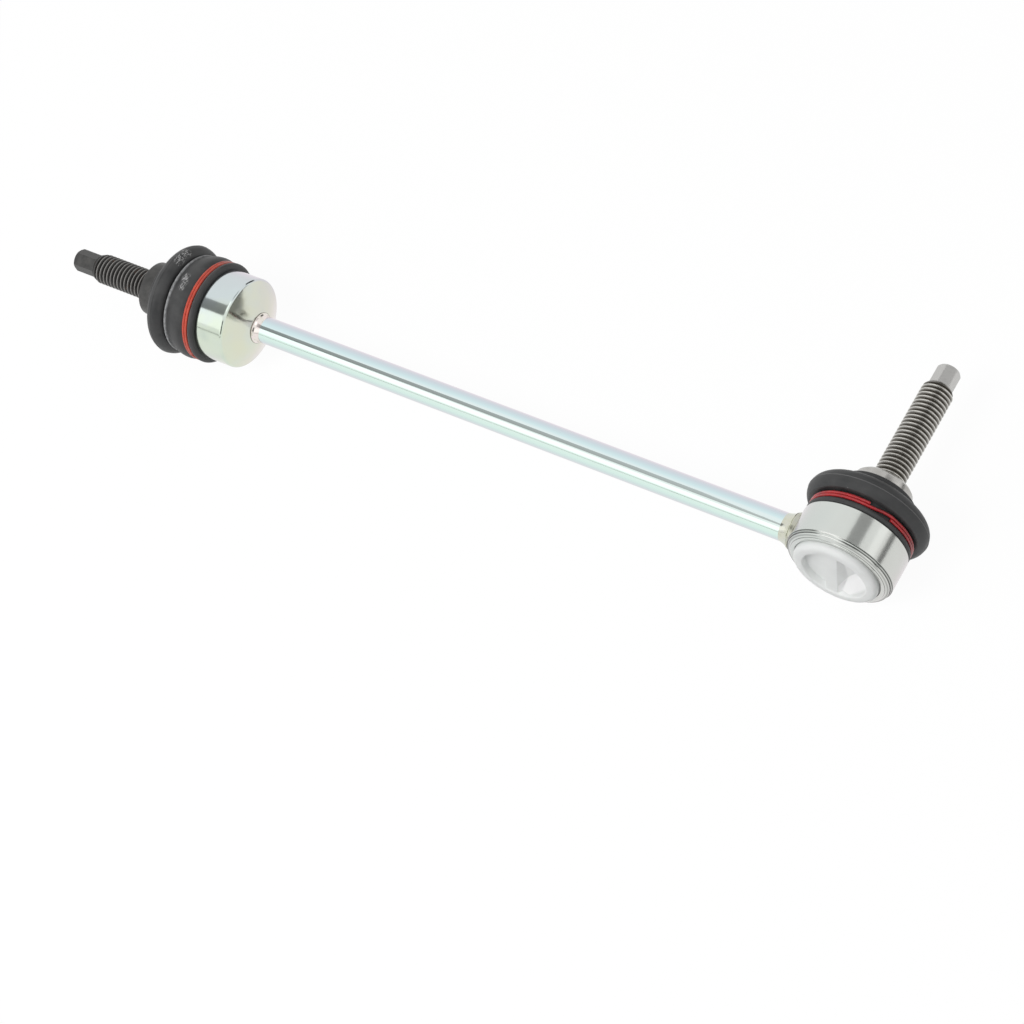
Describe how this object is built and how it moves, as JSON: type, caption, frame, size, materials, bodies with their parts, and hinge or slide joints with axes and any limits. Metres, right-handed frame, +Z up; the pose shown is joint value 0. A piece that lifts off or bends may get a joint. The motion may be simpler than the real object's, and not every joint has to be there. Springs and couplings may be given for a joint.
{
  "type": "stabilizer link",
  "caption": "Stabilizer link: a zinc plated rod with a sealed ball joint at each end, one threaded stud in line with the rod and the other square to it, each in a rubber boot.",
  "frame": {"origin": "centre of the square stud's seat face, on that stud's axis", "axes": "+X along the rod from the in-line joint towards the square joint, +Y out along the square stud, +Z up with the link lying flat"},
  "size_m": [0.3649, 0.1034, 0.0462],
  "materials": {
    "zinc_plate": "bright zinc plating with a faint green, pink and blue sheen",
    "weld": "zinc plated weld, tinted yellow",
    "bare_steel": "bare turned and rolled steel",
    "black_steel": "satin black phosphate on steel",
    "boot_rubber": "moulded black rubber, slightly dusty",
    "red_wire": "red coated spring wire",
    "socket_plastic": "white moulded bearing plastic"
  },
  "bodies": {
    "link": {"rod": "zinc_plate", "inline_weld": "weld", "inline_housing": "zinc_plate", "inline_socket": "socket_plastic", "inline_closing_ring": "bare_steel", "inline_clamp_ring": "red_wire", "radial_weld": "weld", "radial_housing": "zinc_plate", "radial_socket": "socket_plastic", "radial_clamp_ring": "red_wire"},
    "inline_boot_body": {"inline_boot": "boot_rubber"},
    "inline_neck_body": {"inline_neck_ring": "bare_steel"},
    "inline_stud_body": {"inline_ball_stud": "black_steel"},
    "radial_boot_body": {"radial_boot": "boot_rubber"},
    "radial_neck_body": {"radial_neck_ring": "bare_steel"},
    "radial_stud_body": {"radial_ball_stud": "bare_steel"}
  },
  "joints": [
    {"name": "inline_direction", "type": "hinge", "parent": "link", "child": "inline_boot_body", "pos_m": [-0.271, -0.0295, 0], "axis": [-1, 0, 0], "continuous": true},
    {"name": "inline_swing", "type": "hinge", "parent": "inline_boot_body", "child": "inline_neck_body", "pos_m": [-0.271, -0.0295, 0], "axis": [0, 0, 1], "range_deg": [-25, 25], "deforming": ["inline_boot"]},
    {"name": "inline_spin", "type": "hinge", "parent": "inline_neck_body", "child": "inline_stud_body", "pos_m": [-0.271, -0.0295, 0], "axis": [-1, 0, 0], "continuous": true},
    {"name": "radial_direction", "type": "hinge", "parent": "link", "child": "radial_boot_body", "pos_m": [0, -0.027, 0], "axis": [0, 1, 0], "continuous": true},
    {"name": "radial_swing", "type": "hinge", "parent": "radial_boot_body", "child": "radial_neck_body", "pos_m": [0, -0.027, 0], "axis": [0, 0, 1], "range_deg": [-25, 25], "deforming": ["radial_boot"]},
    {"name": "radial_spin", "type": "hinge", "parent": "radial_neck_body", "child": "radial_stud_body", "pos_m": [0, -0.027, 0], "axis": [0, 1, 0], "continuous": true}
  ]
}
